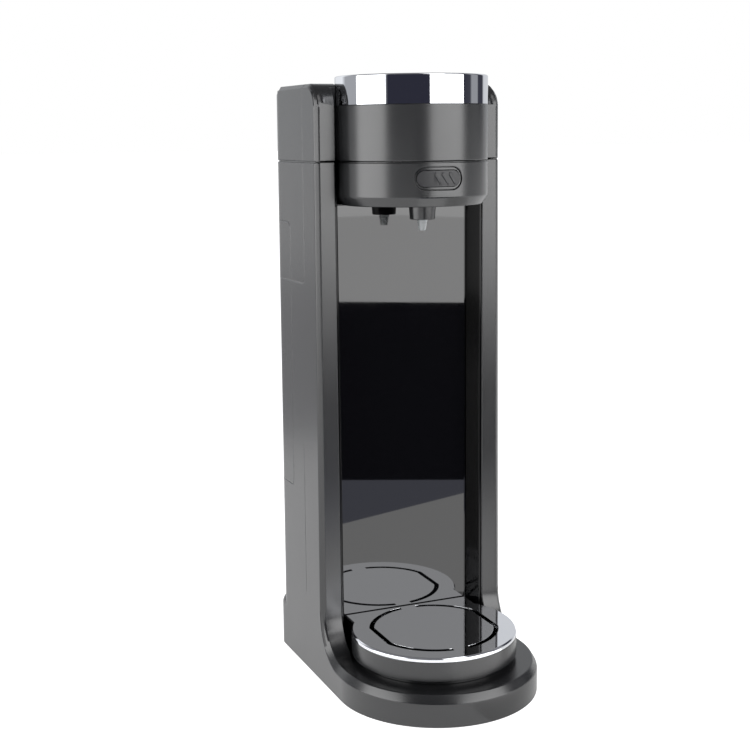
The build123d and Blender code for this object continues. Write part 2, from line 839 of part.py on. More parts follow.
def pump_motor():
    back = pump_back + motor_long
    can = bar(0, pump_z, pump_back, back, motor_radius)
    nose = bar(0, pump_z, pump_back - motor_nose, pump_back, motor_nose_radius)
    boss = bar(0, pump_z, back, back + motor_nose, motor_nose_radius)
    bore = bar(0, pump_z, pump_back - overrun, back - wall + fit_gap, shaft_radius + running_gap)
    return can + nose + boss - bore


def pump_screws():
    group = []
    for x, z in ear_places():
        head = bar(x, z, pump_back, pump_back + screw_head_thick, screw_head_radius)
        group.append(head + bar(x, z, pump_back - screw_long, pump_back, screw_radius - running_gap))
    return Compound(children=group)


def pump_hose():
    """The pump's own hose: two straight legs, pressed flat wherever the rollers pass."""
    centre = track_radius - hose_radius
    half = (pump_depth - pump_floor) / 2 - fit_gap
    y_low = hose_port_y - half + fit_gap
    y_high = hose_port_y + half - fit_gap
    ring = bar(0, pump_z, y_low, y_high, track_radius - running_gap)
    ring = ring - bar(0, pump_z, y_low, y_high, track_radius - pressed_hose)
    lower = block(-track_radius, track_radius, y_low, y_high, pump_z - track_radius, pump_z)
    pressed = ring & lower
    top = pump_z + pump_radius + pump_wall
    hose = pressed
    for x in (-centre, centre):
        hose = hose + post(x, hose_port_y, pump_z, top, hose_radius - running_gap)
    hose = hose - bar(0, pump_z, y_low - fit_gap, y_high + fit_gap, track_radius - pressed_hose)
    open_z = pump_z + track_radius / 2
    for x in (-centre, centre):
        hose = hose - post(x, hose_port_y, open_z, top, hose_bore)
    return hose


def hose_path(points, radius):
    """A round hose along straight runs joined by arcs."""
    line = FilletPolyline(*points, radius=radius)
    section = Circle(hose_radius - running_gap) - Circle(hose_bore)
    return sweep(Plane(origin=line @ 0, z_dir=line % 0) * section, path=line)


def intake_hose():
    """From the reservoir's outlet down to the pump."""
    top = reservoir_floor - reservoir_slope - outlet_drop
    low = pump_z + pump_radius + pump_wall
    x = hose_port_xs[0]
    upper = top - 2.5 * hose_radius
    lower = head_floor_top + 2 * hose_radius
    points = [(0, outlet_y, top), (0, outlet_y, upper), (x, hose_port_y, lower), (x, hose_port_y, low)]
    return hose_path(points, hose_bend)


def outlet_hose():
    """From the pump up through the head's floor and forward to the aerating chamber."""
    low = pump_z + pump_radius + pump_wall
    x = hose_port_xs[1]
    end = nozzle_y + chamber_radius
    near = end + barb_long + hose_radius
    points = [(x, hose_port_y, low), (x, hose_port_y, inlet_z), (0, near, inlet_z), (0, end, inlet_z)]
    return hose_path(points, hose_bend)


def hose_joiners():
    """Short stiff tubes inside the hose ends where the pump's own hose meets the other two."""
    z = pump_z + pump_radius + pump_wall
    tubes = []
    for x in hose_port_xs:
        tube = post(x, hose_port_y, z - barb_long, z + barb_long, barb_radius)
        tubes.append(tube - post(x, hose_port_y, z - barb_long, z + barb_long, barb_bore))
    return Compound(children=tubes)


def control_board():
    half = board_wide / 2
    tall = board_high / 2
    low = board_z - tall
    board = block(-half, half, board_y, board_y + board_thick, low, board_z + tall)
    for x, z in stand_places():
        board = board - bar(x, z, board_y - overrun, board_y + overrun, screw_radius + fit_gap)
    face = board_y + board_thick
    chip = board_wide * chip_share
    for place_x, place_z, wide, deep in component_shares:
        x = place_x * half
        z = board_z + place_z * tall
        part = block(x - wide * chip, x + wide * chip, face - tiny, face + deep * chip,
                     z - wide * chip, z + wide * chip)
        board = board + part
    return board


# Components on the control board: place across and up it, half width and depth
chip_share = 0.1
component_shares = [(0.0, 0.1, 0.9, 0.35), (-0.5, 0.45, 0.5, 0.9), (0.45, 0.5, 0.5, 0.9),
                    (0.5, -0.5, 0.7, 0.6), (-0.45, -0.45, 0.6, 0.4)]


def board_screws():
    group = []
    back = board_y + board_thick
    for x, z in stand_places():
        head = bar(x, z, back, back + screw_head_thick, board_screw_head)
        group.append(head + bar(x, z, inside_y + wall + fit_gap, back, screw_radius - running_gap))
    return Compound(children=group)


def cell(number, radius, long):
    """One cell's round bar, which lies across the column."""
    y = inside_y + holder_wall + cell_radius
    return Pos(0, y, holder_z + number * cell_pitch) * Rot(0, 90, 0) * Cylinder(radius, long)


def battery_holder():
    half = cell_long / 2 + fit_gap + holder_wall
    low = holder_z - cell_pitch / 2 - holder_wall
    high = low + cell_count * cell_pitch + 2 * holder_wall
    front = inside_y
    axis = front + holder_wall + cell_radius
    back = axis + cell_radius
    tray = block(-half, half, front, back, low, high)
    seat = cell_radius + fit_gap
    room = cell_long + 2 * fit_gap
    for number in range(cell_count):
        z = holder_z + number * cell_pitch
        tray = tray - cell(number, seat, room)
        tray = tray - block(-room / 2, room / 2, axis, back + overrun, z - seat, z + seat)
    return tray


def battery_cells():
    return Compound(children=[cell(number, cell_radius, cell_long) for number in range(cell_count)])


def rear_cover():
    half = rear_cover_half
    cover = block(-half, half, inner_rear, column_rear, rear_cover_low, rear_cover_high)
    cover = fillet(cover.edges().filter_by(Axis.Y), wall)
    for number in range(vent_count):
        z = vent_z - number * vent_pitch
        slit = Plane.XZ * SlotOverall(vent_long, vent_high)
        cover = cover - Pos(0, column_rear + overrun, z) * extrude(slit, wall + 2 * overrun)
    for x, z in rear_screw_places():
        cover = cover - bar(x, z, inner_rear - overrun, column_rear + overrun, screw_radius + fit_gap)
        cover = cover - bar(x, z, column_rear - screw_head_thick, column_rear + overrun,
                            screw_head_radius + fit_gap)
    return cover - bar(0, socket_z, inner_rear - overrun, column_rear + overrun, socket_radius + fit_gap)


def rear_cover_screws():
    group = []
    back = column_rear - screw_head_thick
    for x, z in rear_screw_places():
        head = bar(x, z, back, column_rear, screw_head_radius)
        group.append(head + bar(x, z, inner_rear - screw_long / 2, back, screw_radius - running_gap))
    return Compound(children=group)


def charging_socket():
    barrel = bar(0, socket_z, inner_rear - socket_depth - wall, column_rear, socket_radius)
    flange = bar(0, socket_z, inner_rear - socket_flange_thick, inner_rear, socket_flange)
    bore = bar(0, socket_z, column_rear - socket_depth, column_rear + overrun, socket_bore)
    pin = bar(0, socket_z, column_rear - socket_depth - tiny, column_rear - wall, socket_pin)
    return barrel + flange - bore + pin


def base_plate():
    low = foot_proud
    plate = Pos(0, 0, low) * extrude(plan(wall + fit_gap, rear_y), base_plate_thick)
    for x, y in base_screw_places():
        plate = plate - post(x, y, low - overrun, low + overrun, screw_radius + fit_gap)
        plate = plate - post(x, y, low - overrun, low + screw_head_thick, screw_head_radius + fit_gap)
    for x, y in foot_places():
        plate = plate - post(x, y, low - overrun, foot_thick, foot_radius + fit_gap / 2)
    return plate


def base_screws():
    group = []
    low = foot_proud
    for x, y in base_screw_places():
        head = post(x, y, low, low + screw_head_thick, screw_head_radius)
        shank_top = low + screw_head_thick + screw_long
        group.append(head + post(x, y, low + screw_head_thick, shank_top, screw_radius - running_gap))
    return Compound(children=group)


def rubber_feet():
    pads = []
    for x, y in foot_places():
        pads.append(post(x, y, 0, foot_thick, foot_radius))
    return Compound(children=pads)


parts = {
    "main_body": main_body(),
    "top_cover": top_cover(),
    "head_lower_housing": head_lower_housing(),
    "housing_screws": housing_screws(),
    "chrome_ring": chrome_ring(),
    "reservoir": reservoir(),
    "reservoir_strainer": reservoir_strainer(),
    "fill_lid": fill_lid(),
    "lid_gasket": lid_gasket(),
    "nozzle_collar": nozzle_collar(),
    "spout_tip": spout_tip(),
    "spout_oring": spout_oring(),
    "aeration_chamber": aeration_chamber(),
    "air_filter": air_filter(),
    "button_bezel": button_bezel(),
    "button_cap": button_cap(),
    "switch_plunger": switch_plunger(),
    "button_switch": button_switch(),
    "mirror_panel": mirror_panel(),
    "left_liner": liner(-1),
    "right_liner": liner(1),
    "drip_cup": drip_cup(),
    "drip_plate": drip_plate(),
    "pump_housing": pump_housing(),
    "pump_cover": pump_cover(),
    "pump_rotor": pump_rotor(),
    "motor_shaft": motor_shaft(),
    "pump_motor": pump_motor(),
    "pump_screws": pump_screws(),
    "pump_hose": pump_hose(),
    "intake_hose": intake_hose(),
    "outlet_hose": outlet_hose(),
    "hose_joiners": hose_joiners(),
    "control_board": control_board(),
    "board_screws": board_screws(),
    "battery_holder": battery_holder(),
    "battery_cells": battery_cells(),
    "charging_socket": charging_socket(),
    "rear_cover": rear_cover(),
    "rear_cover_screws": rear_cover_screws(),
    "base_plate": base_plate(),
    "base_screws": base_screws(),
    "rubber_feet": rubber_feet(),
}
for number in range(roller_count):
    parts["pump_roller_" + str(number + 1)] = roller(number)

os.makedirs("parts", exist_ok=True)
for name, shape in parts.items():
    export_step(shape, "parts/" + name + ".step")
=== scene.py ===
import bmesh
import bpy
from math import atan2, copysign, cos, degrees, pi, radians, sin, tan
from mathutils import Matrix, Vector
from mathutils.bvhtree import BVHTree


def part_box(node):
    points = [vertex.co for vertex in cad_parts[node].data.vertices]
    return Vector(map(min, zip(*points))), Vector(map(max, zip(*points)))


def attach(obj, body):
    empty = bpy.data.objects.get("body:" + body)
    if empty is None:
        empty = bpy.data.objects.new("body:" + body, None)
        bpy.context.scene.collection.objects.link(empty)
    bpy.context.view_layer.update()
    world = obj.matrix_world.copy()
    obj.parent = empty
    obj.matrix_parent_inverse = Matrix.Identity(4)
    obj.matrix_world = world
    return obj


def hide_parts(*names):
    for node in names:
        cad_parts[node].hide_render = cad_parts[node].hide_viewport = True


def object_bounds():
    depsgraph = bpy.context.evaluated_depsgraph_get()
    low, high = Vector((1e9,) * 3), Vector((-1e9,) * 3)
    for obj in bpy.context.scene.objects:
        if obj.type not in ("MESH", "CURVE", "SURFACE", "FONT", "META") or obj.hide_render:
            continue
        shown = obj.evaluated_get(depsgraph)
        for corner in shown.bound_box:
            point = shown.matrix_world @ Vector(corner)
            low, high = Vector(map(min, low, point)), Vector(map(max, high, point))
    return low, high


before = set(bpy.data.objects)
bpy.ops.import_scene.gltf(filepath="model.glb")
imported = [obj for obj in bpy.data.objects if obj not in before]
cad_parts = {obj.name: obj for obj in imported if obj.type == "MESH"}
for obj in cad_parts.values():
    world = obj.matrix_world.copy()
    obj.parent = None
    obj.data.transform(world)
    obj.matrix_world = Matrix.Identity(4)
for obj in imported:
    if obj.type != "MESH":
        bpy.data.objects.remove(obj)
cad_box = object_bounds()
mm = 0.001


# Body moulding: the base, its sweep up into the two arms, and the column. One thick-walled
# injection moulding in charcoal ABS with a fine satin texture. Every other piece hangs on it.
body_charcoal = (0.0120, 0.0124, 0.0132, 1.0)
body_gloss = 0.26
plastic_ior = 1.68
grain_per_m = 2600.0
grain_detail = 3.0
grain_depth = 0.25
grain_strength = 0.2
grain_height = 0.05 * mm
drift_per_m = 38.0
drift_detail = 4.0
shade_drift = 0.12
gloss_drift = 0.025
body_edge = 0.7 * mm
edge_steps = 3
underside = 1.5 * mm
arm_front = 3.7 * mm
arm_top = 415.5 * mm
base_top = 22.5 * mm
sweep_round = 30.0 * mm
sweep_y = arm_front - sweep_round
sweep_z = base_top + sweep_round
crown_round = 16.0 * mm
crown_y = arm_front + crown_round
crown_z = arm_top - crown_round
bevel_in = 3.3 * mm
bevel_side = 5.3 * mm
bevel_lean = 2.6 * mm
bevel_least_share = 0.01
side_draft = 0.35
draft_from = 52.0 * mm
slack = 0.15 * mm
probe_reach = 0.05 * mm
weld_gap = 0.002 * mm
flat_join = 0.3
sharp_from = 24
smooth_below = 30


def welded(node, join=flat_join):
    """A welded copy of a CAD node's mesh, with each flat area joined into one face."""
    bm = bmesh.new()
    bm.from_mesh(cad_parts[node].data)
    bmesh.ops.remove_doubles(bm, verts=bm.verts, dist=weld_gap)
    bmesh.ops.dissolve_limit(bm, angle_limit=radians(join), verts=bm.verts, edges=bm.edges)
    return bm


def drafted(bm):
    """The mould's draft: the sides lean in as they rise, and the bevel along the arms is slim."""
    side = cad_box[1].x
    for vert in bm.verts:
        x, y, z = vert.co
        share = (abs(x) - side + bevel_in) / bevel_in
        if share > bevel_least_share and z > sweep_z - slack:
            centre = Vector((max(crown_y, y), min(crown_z, z)))
            away = Vector((y, z)) - centre
            if abs(away.length - crown_round + bevel_side * share) < slack:
                vert.co.yz = centre + away.normalized() * (away.length + bevel_lean * share)
        elif share > bevel_least_share and y > sweep_y:
            centre = Vector((sweep_y, sweep_z))
            away = Vector((y, z)) - centre
            if abs(away.length - sweep_round - bevel_side * share) < slack:
                lean = bevel_lean * share * (1 + away.y / away.length)
                vert.co.yz = centre + away.normalized() * (away.length - lean)
        out = abs(x) - draft_from
        if out > 0:
            vert.co.x -= copysign(z * tan(radians(side_draft)) * out / (side - draft_from), x)
    return bm


def eased(bm, radius, segments=edge_steps, above=cad_box[0].z - slack):
    """Rounds the sharp outer edges; those in a hollow, in a fine groove or underneath stay."""
    around = BVHTree.FromBMesh(bm)
    picked = []
    for edge in bm.edges:
        if not edge.is_convex or edge.calc_face_angle(0) < radians(sharp_from):
            continue
        middle = (edge.verts[0].co + edge.verts[1].co) / 2
        width = min(face.calc_area() for face in edge.link_faces) / edge.calc_length()
        away = (edge.link_faces[0].normal + edge.link_faces[1].normal).normalized()
        covered = around.ray_cast(middle + away * probe_reach, away)[0] is not None
        if width > 2 * radius and middle.z > above and not covered:
            picked.append(edge)
    bmesh.ops.bevel(bm, geom=picked, offset=radius, offset_type="OFFSET", segments=segments,
                    profile=0.5, affect="EDGES", clamp_overlap=False, material=-1)
    return bm


def finished(bm, name, body, slot, material, *replaced):
    """Makes a bmesh a piece that rides a body and stands for the CAD nodes that it replaces."""
    mesh = bpy.data.meshes.new(name)
    bm.to_mesh(mesh)
    bm.free()
    mesh.shade_smooth()
    mesh.set_sharp_from_angle(angle=radians(smooth_below))
    mesh.materials.append(material)
    piece = bpy.data.objects.new(name, mesh)
    bpy.context.scene.collection.objects.link(piece)
    even = piece.modifiers.new("even_shading", "WEIGHTED_NORMAL")
    even.keep_sharp = True
    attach(piece, body)
    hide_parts(*replaced)


def feed(tree, socket, value):
    """Gives a socket a value, or links another node's output to it."""
    if isinstance(value, bpy.types.NodeSocket):
        tree.links.new(value, socket)
    else:
        socket.default_value = value


def calc(tree, operation, *values):
    """The result of a Math node in this tree."""
    node = tree.nodes.new("ShaderNodeMath")
    node.operation = operation
    for number, value in enumerate(values):
        feed(tree, node.inputs[number], value)
    return node.outputs["Value"]


def ranged(tree, value, low, high, start=0.0, end=1.0):
    """A value that runs from start to end, made to run from low to high."""
    node = tree.nodes.new("ShaderNodeMapRange")
    for label, number in [("From Min", start), ("From Max", end),
                          ("To Min", low), ("To Max", high)]:
        node.inputs[label].default_value = number
    tree.links.new(value, node.inputs["Value"])
    return node.outputs["Result"]


def scaled(tree, color, factor):
    """A colour made lighter or darker by a factor."""
    node = tree.nodes.new("ShaderNodeVectorMath")
    node.operation = "SCALE"
    tree.links.new(color, node.inputs[0])
    tree.links.new(factor, node.inputs["Scale"])
    return node.outputs["Vector"]


def noise(tree, per_m, detail):
    """Noise over a piece's own coordinates."""
    place = tree.nodes.new("ShaderNodeTexCoord")
    node = tree.nodes.new("ShaderNodeTexNoise")
    feed(tree, node.inputs["Scale"], per_m)
    node.inputs["Detail"].default_value = detail
    tree.links.new(place.outputs["Object"], node.inputs["Vector"])
    return node.outputs["Fac"]


def shader_group(name, inputs, outputs):
    """An empty shader node group with named sockets, and its two ends."""
    tree = bpy.data.node_groups.new(name, "ShaderNodeTree")
    for way, sockets in [("INPUT", inputs), ("OUTPUT", outputs)]:
        for label in sockets:
            kind = "NodeSocketColor" if label == "Color" else "NodeSocketFloat"
            tree.interface.new_socket(name=label, in_out=way, socket_type=kind)
    return tree, tree.nodes.new("NodeGroupInput").outputs, tree.nodes.new("NodeGroupOutput").inputs


def moulded_texture():
    """Spark-eroded mould texture: a fine bump, and slow drifts of shade and gloss."""
    tree, given, out = shader_group("moulded_texture",
                                    ["Color", "Roughness", "Grain per m", "Grain depth"],
                                    ["Color", "Roughness", "Height"])
    grain = noise(tree, given["Grain per m"], grain_detail)
    drift = noise(tree, drift_per_m, drift_detail)
    shade = ranged(tree, drift, 1 - shade_drift, 1 + shade_drift)
    gloss = ranged(tree, drift, -gloss_drift, gloss_drift)
    tree.links.new(scaled(tree, given["Color"], shade), out["Color"])
    tree.links.new(calc(tree, "ADD", gloss, given["Roughness"]), out["Roughness"])
    tree.links.new(calc(tree, "MULTIPLY", grain, given["Grain depth"]), out["Height"])
    return tree


texture = moulded_texture()


def moulded(name, color, roughness, grain=grain_per_m, depth=grain_depth, metallic=0.0,
            ior=plastic_ior):
    """A material with the moulded texture in its colour, gloss and bump."""
    material = bpy.data.materials.new(name)
    material.use_nodes = True
    tree = material.node_tree
    shader = tree.nodes["Principled BSDF"]
    shader.inputs["Metallic"].default_value = metallic
    shader.inputs["IOR"].default_value = ior
    surface = tree.nodes.new("ShaderNodeGroup")
    surface.node_tree = texture
    surface.inputs["Color"].default_value = color
    surface.inputs["Roughness"].default_value = roughness
    surface.inputs["Grain per m"].default_value = grain
    surface.inputs["Grain depth"].default_value = depth
    bump = tree.nodes.new("ShaderNodeBump")
    bump.inputs["Strength"].default_value = grain_strength
    bump.inputs["Distance"].default_value = grain_height
    tree.links.new(surface.outputs["Color"], shader.inputs["Base Color"])
    tree.links.new(surface.outputs["Roughness"], shader.inputs["Roughness"])
    tree.links.new(surface.outputs["Height"], bump.inputs["Height"])
    tree.links.new(bump.outputs["Normal"], shader.inputs["Normal"])
    return material


# The moulded lines in the two sides: rounded frames that run on round the rear, a straight line
# and a short tick. Each is given in mm as its middle, half size and corner, seen from the side.
line_width = 0.7 * mm
line_depth = 0.4 * mm
# How much darker the colour is inside a moulded line: painted shade in the groove.
line_painted_shade = 0.7
line_sockets = ["Middle Y", "Middle Z", "Half Y", "Half Z", "Corner"]
line_frames = [(128.5, 431.0, 100.0, 150.0, 5.0), (156.5, 227.0, 100.0, 95.0, 5.0),
               (33.5, 113.5, 0.0, 54.5, 0.0), (104.5, 173.0, 20.0, 0.0, 0.0)]


def frame_line():
    """How deep a point lies in a moulded line that follows a rounded frame on the sides."""
    tree, given, out = shader_group("frame_line", line_sockets + ["Width"], ["Depth"])
    place = tree.nodes.new("ShaderNodeTexCoord")
    split = tree.nodes.new("ShaderNodeSeparateXYZ")
    tree.links.new(place.outputs["Object"], split.inputs["Vector"])
    past = []
    for axis in "YZ":
        off = calc(tree, "SUBTRACT", split.outputs[axis], given["Middle " + axis])
        inside = calc(tree, "SUBTRACT", given["Half " + axis], given["Corner"])
        past.append(calc(tree, "SUBTRACT", calc(tree, "ABSOLUTE", off), inside))
    squares = [calc(tree, "POWER", calc(tree, "MAXIMUM", value, 0.0), 2.0) for value in past]
    reach = calc(tree, "SQRT", calc(tree, "ADD", *squares))
    inner = calc(tree, "MINIMUM", calc(tree, "MAXIMUM", *past), 0.0)
    off_line = calc(tree, "SUBTRACT", calc(tree, "ADD", reach, inner), given["Corner"])
    share = calc(tree, "DIVIDE", calc(tree, "ABSOLUTE", off_line), given["Width"])
    depth = calc(tree, "MAXIMUM", calc(tree, "SUBTRACT", 1.0, share), 0.0)
    side = calc(tree, "GREATER_THAN", calc(tree, "ABSOLUTE", split.outputs["X"]), draft_from)
    tree.links.new(calc(tree, "MULTIPLY", depth, side), out["Depth"])
    return tree


body_plastic = moulded("body_plastic", body_charcoal, body_gloss)
tree = body_plastic.node_tree
shader = tree.nodes["Principled BSDF"]
one_line = frame_line()
deepest = 0.0
for line_frame in line_frames:
    line = tree.nodes.new("ShaderNodeGroup")
    line.node_tree = one_line
    line.inputs["Width"].default_value = line_width
    for label, size in zip(line_sockets, line_frame):
        line.inputs[label].default_value = size * mm
    deepest = calc(tree, "MAXIMUM", line.outputs["Depth"], deepest)
groove = tree.nodes.new("ShaderNodeBump")
groove.invert = True
groove.inputs["Strength"].default_value = 1.0
groove.inputs["Distance"].default_value = line_depth
tree.links.new(deepest, groove.inputs["Height"])
tree.links.new(tree.nodes["Bump"].outputs["Normal"], groove.inputs["Normal"])
tree.links.new(groove.outputs["Normal"], shader.inputs["Normal"])
# The base colour darkens inside the moulded lines: painted shade in the grooves, added to the real
# bump.
tree.links.new(scaled(tree, tree.nodes["Group"].outputs["Color"],
                      ranged(tree, deepest, 1.0, line_painted_shade)), shader.inputs["Base Color"])
finished(eased(drafted(welded("main_body")), body_edge, above=underside), "body_moulding",
         "housing", "body_plastic", body_plastic, "main_body")


# Base plate, feet and rear cover: a flat moulded plate closes the base, four rubber pads stand in
# its round recesses, and the cover with its vents closes the column behind the pump.
foot_edge = 0.6 * mm
cover_edge = 0.3 * mm
foot_rubber = moulded("foot_rubber", (0.012, 0.012, 0.012, 1.0), 0.7, 1800.0, 0.5, ior=1.5)
finished(eased(welded("rubber_feet"), foot_edge), "foot_pads",
         "housing", "foot_rubber", foot_rubber, "rubber_feet")
finished(eased(welded("base_plate"), cover_edge), "bottom_plate",
         "housing", "body_plastic", body_plastic, "base_plate")
finished(eased(welded("rear_cover"), cover_edge), "back_cover",
         "housing", "body_plastic", body_plastic, "rear_cover")


# Screws: plated pan heads with a cross recess, four in the rear cover, four in the base plate and
# four up into the head. The smaller screws inside keep their CAD shape.
screw_steel = moulded("screw_steel", (0.52, 0.52, 0.50, 1.0), 0.3, 5200.0, 0.1, metallic=1.0)
head_radius = 3.0 * mm
head_thick = 1.6 * mm
head_edge = 0.35 * mm
head_sides = 40
cross_reach = 1.7 * mm
cross_half = 0.42 * mm
cross_deep = 1.1 * mm
shank_radius = 1.35 * mm
shank_long = 6.0 * mm


def cross_head():
    """One screw, head up, at the origin: the cross is left open in the top face, then sunk."""
    bm = bmesh.new()
    rim = bmesh.ops.create_circle(bm, cap_ends=False, radius=head_radius - head_edge,
                                  segments=head_sides)["verts"]
    corner = [(cross_half, cross_half), (cross_half, cross_reach), (-cross_half, cross_reach)]
    plus = []
    for turn in range(4):
        spin = Matrix.Rotation(turn * pi / 2, 3, "Z")
        plus += [bm.verts.new(spin @ Vector((x, y, 0.0))) for x, y in corner]
    ring = [bm.edges.new((a, b)) for a, b in zip(plus, plus[1:] + plus[:1])]
    loop = [edge for edge in bm.edges if all(vert in rim for vert in edge.verts)]
    bmesh.ops.triangle_fill(bm, edges=loop + ring, use_beauty=True)
    sunk = bmesh.ops.extrude_edge_only(bm, edges=ring)["geom"]
    low = [part for part in sunk if isinstance(part, bmesh.types.BMVert)]
    bmesh.ops.translate(bm, verts=low, vec=(0, 0, -cross_deep))
    bmesh.ops.contextual_create(
        bm, geom=[part for part in sunk if isinstance(part, bmesh.types.BMEdge)])
    for radius, height in [(head_radius, -head_edge), (head_radius, -head_thick),
                           (shank_radius, -head_thick), (shank_radius, -head_thick - shank_long)]:
        grown = bmesh.ops.extrude_edge_only(bm, edges=loop)["geom"]
        loop = [part for part in grown if isinstance(part, bmesh.types.BMEdge)]
        for vert in grown:
            if isinstance(vert, bmesh.types.BMVert):
                flat = vert.co.xy.normalized() * radius
                vert.co = (flat.x, flat.y, height)
    bmesh.ops.contextual_create(bm, geom=loop)
    bmesh.ops.recalc_face_normals(bm, faces=bm.faces)
    return bm


def screws(node, name, faces):
    """Four screws at the corners of a CAD node's box, whose heads look along an axis."""
    low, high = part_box(node)
    group = bmesh.new()
    turn = faces.to_track_quat("Z", "Y").to_matrix().to_4x4()
    seat = high if faces.y > 0 else low
    first, second = [axis for axis in range(3) if not faces[axis]]
    for a in (low[first] + head_radius, high[first] - head_radius):
        for b in (low[second] + head_radius, high[second] - head_radius):
            place = Vector(seat)
            place[first], place[second] = a, b
            single = cross_head()
            single.transform(Matrix.Translation(place) @ turn)
            mesh = bpy.data.meshes.new(name)
            single.to_mesh(mesh)
            single.free()
            group.from_mesh(mesh)
            bpy.data.meshes.remove(mesh)
    finished(group, name, "housing", "screw_steel", screw_steel, node)


def paint(material, *names):
    """Gives CAD nodes that stay as they are their finish."""
    for name in names:
        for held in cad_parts[name].material_slots:
            held.material = material


screws("rear_cover_screws", "cover_screws", Vector((0, 1, 0)))
screws("base_screws", "plate_screws", Vector((0, 0, -1)))
screws("housing_screws", "drum_screws", Vector((0, 0, -1)))
paint(screw_steel, "board_screws", "pump_screws", "motor_shaft")

# Electrics: two wrapped cells in a moulded holder, the control board on its stands, and the round
# socket that shows through the rear cover. They keep their CAD shape.
cell_wrap = moulded("cell_wrap", (0.05, 0.16, 0.30, 1.0), 0.3, 900.0, 0.1)
board_laminate = moulded("board_laminate", (0.01, 0.09, 0.035, 1.0), 0.35, 1500.0, 0.3)
switch_plastic = moulded("switch_plastic", (0.012, 0.012, 0.013, 1.0), 0.3)
paint(cell_wrap, "battery_cells")
paint(board_laminate, "control_board", "button_switch")
paint(switch_plastic, "charging_socket", "switch_plunger")

# Pump: a peristaltic pump with its motor, three rollers and silicone hoses, all behind the dark
# panel. It keeps its CAD shape, as do the filter and the joiners.
pump_plastic = moulded("pump_plastic", (0.02, 0.02, 0.02, 1.0), 0.5)
motor_steel = moulded("motor_steel", (0.5, 0.5, 0.51, 1.0), 0.32, 3000.0, 0.2, metallic=1.0)
silicone = moulded("silicone", (0.55, 0.55, 0.52, 1.0), 0.45, 700.0, 0.2, ior=1.43)
paint(pump_plastic, "pump_housing", "pump_cover", "pump_rotor", "pump_roller_1", "pump_roller_2",
      "pump_roller_3", "battery_holder", "air_filter", "hose_joiners")
paint(motor_steel, "pump_motor")
paint(silicone, "pump_hose", "intake_hose", "outlet_hose", "spout_oring")


# Dark panel and its liners: a black acrylic panel, polished like a mirror, at the back of the bay,
# and a strip of gloss black moulding at each side that splays out to the arm.
panel_ior = 1.64
panel_edge = 0.3 * mm
liner_ior = 1.33
liner_edge = 0.4 * mm
wipe_per_m = 55.0
wipe_detail = 5.0


def polished(name, color, roughness, smudge, metallic=1.0, ior=1.5):
    """A polished surface whose gloss drifts a little, as if wiped with a cloth."""
    material = bpy.data.materials.new(name)
    material.use_nodes = True
    tree = material.node_tree
    shader = tree.nodes["Principled BSDF"]
    shader.inputs["Base Color"].default_value = color
    shader.inputs["Metallic"].default_value = metallic
    shader.inputs["IOR"].default_value = ior
    wipe = noise(tree, wipe_per_m, wipe_detail)
    tree.links.new(ranged(tree, wipe, roughness, roughness + smudge), shader.inputs["Roughness"])
    return material


dark_mirror = polished("dark_mirror", (0.0025, 0.0025, 0.003, 1.0), 0.01, 0.02, 0.0, panel_ior)
gloss_liner = polished("gloss_liner", (0.002, 0.002, 0.0022, 1.0), 0.08, 0.05, 0.0, liner_ior)
finished(eased(welded("mirror_panel"), panel_edge), "gloss_panel",
         "housing", "dark_mirror", dark_mirror, "mirror_panel")
for side in ("left", "right"):
    finished(eased(welded(side + "_liner"), liner_edge), "liner_strip_" + side,
             "housing", "gloss_liner", gloss_liner, side + "_liner")

# Lower drum of the head: a cup with a bevelled underside that carries the button and the nozzle.
# The same satin plastic as the body, screwed up against the top cover.
drum_edge = 0.6 * mm
drum_join = 1.8
drum_y = 1.5 * mm
drum_skin = 40.0 * mm
button_turn = -3.67
turn_full = 22.0
turn_none = 48.0
head_plastic = moulded("head_plastic", body_charcoal, body_gloss)


def turned(bm):
    """Slides the drum's skin round its axis near the front, so the button sits off the middle."""
    for vert in bm.verts:
        x, y = vert.co.x, vert.co.y - drum_y
        angle = abs(degrees(atan2(x, -y)))
        share = min(max((turn_none - angle) / (turn_none - turn_full), 0.0), 1.0)
        if Vector((x, y)).length > drum_skin:
            around = Matrix.Rotation(radians(button_turn * share), 2) @ Vector((x, y))
            vert.co.xy = (around.x, around.y + drum_y)
    return bm


finished(eased(turned(welded("head_lower_housing", drum_join)), drum_edge), "lower_drum",
         "housing", "head_plastic", head_plastic, "head_lower_housing")


# Nozzle: a tapered collar screwed up against the drum, and a clear moulded spout below it that
# pours. Both are turned forms, so each is spun from its section.
collar_taper = 0.7 * mm
collar_edge = 0.5 * mm
spout_gap = 0.3 * mm
spout_wall = 0.8 * mm
spout_edge = 0.2 * mm
spout_end = 2.4 * mm
shoulder_rise = 2.5 * mm
round_steps = 144


def spun(section, centre_y, edge=0.0):
    """A closed section of (radius, height) turned about an upright axis, its corners rounded."""
    bm = bmesh.new()
    line = [bm.verts.new((radius, centre_y, height)) for radius, height in section]
    for a, b in zip(line, line[1:] + line[:1]):
        bm.edges.new((a, b))
    if edge:
        bmesh.ops.bevel(bm, geom=bm.verts[:] + bm.edges[:], offset=edge, offset_type="OFFSET",
                        segments=edge_steps, profile=0.5, affect="VERTICES", material=-1)
    bmesh.ops.spin(bm, geom=bm.verts[:] + bm.edges[:], cent=(0, centre_y, 0), axis=(0, 0, 1),
                   angle=2 * pi, steps=round_steps, use_merge=True)
    bmesh.ops.remove_doubles(bm, verts=bm.verts, dist=weld_gap / 2)
    bmesh.ops.recalc_face_normals(bm, faces=bm.faces)
    return bm


